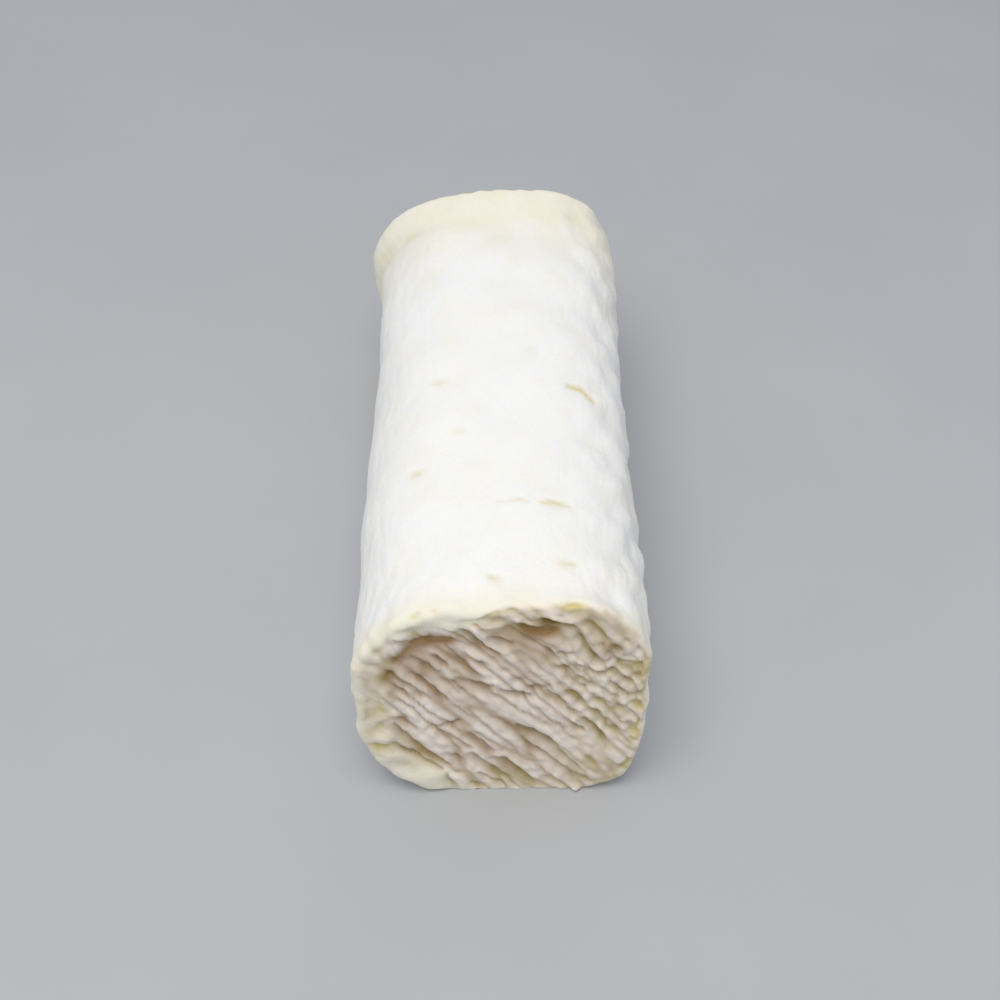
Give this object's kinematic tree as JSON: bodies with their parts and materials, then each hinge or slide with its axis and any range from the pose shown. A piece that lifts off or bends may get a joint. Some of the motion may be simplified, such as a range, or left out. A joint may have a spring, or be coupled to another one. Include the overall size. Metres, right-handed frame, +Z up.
{
  "type": "sheep cheese log",
  "caption": "Soft-ripened sheep's milk cheese log: a long rounded-square bar with a white bloomy rind, doughy end lips and ridged end faces, lying on its flat underside.",
  "frame": {"origin": "under the middle of the log, on the surface that it lies on", "axes": "+Y along the log from its front end to its far end, +X across it to the right as seen from the front, +Z up"},
  "size_m": [0.0522, 0.1232, 0.0473],
  "materials": {
    "rind": "matt white bloom on the sides, moist pale beige paste with tan grooves on the ridged ends"
  },
  "bodies": {
    "root": {"cheese_log": "rind"}
  },
  "joints": []
}
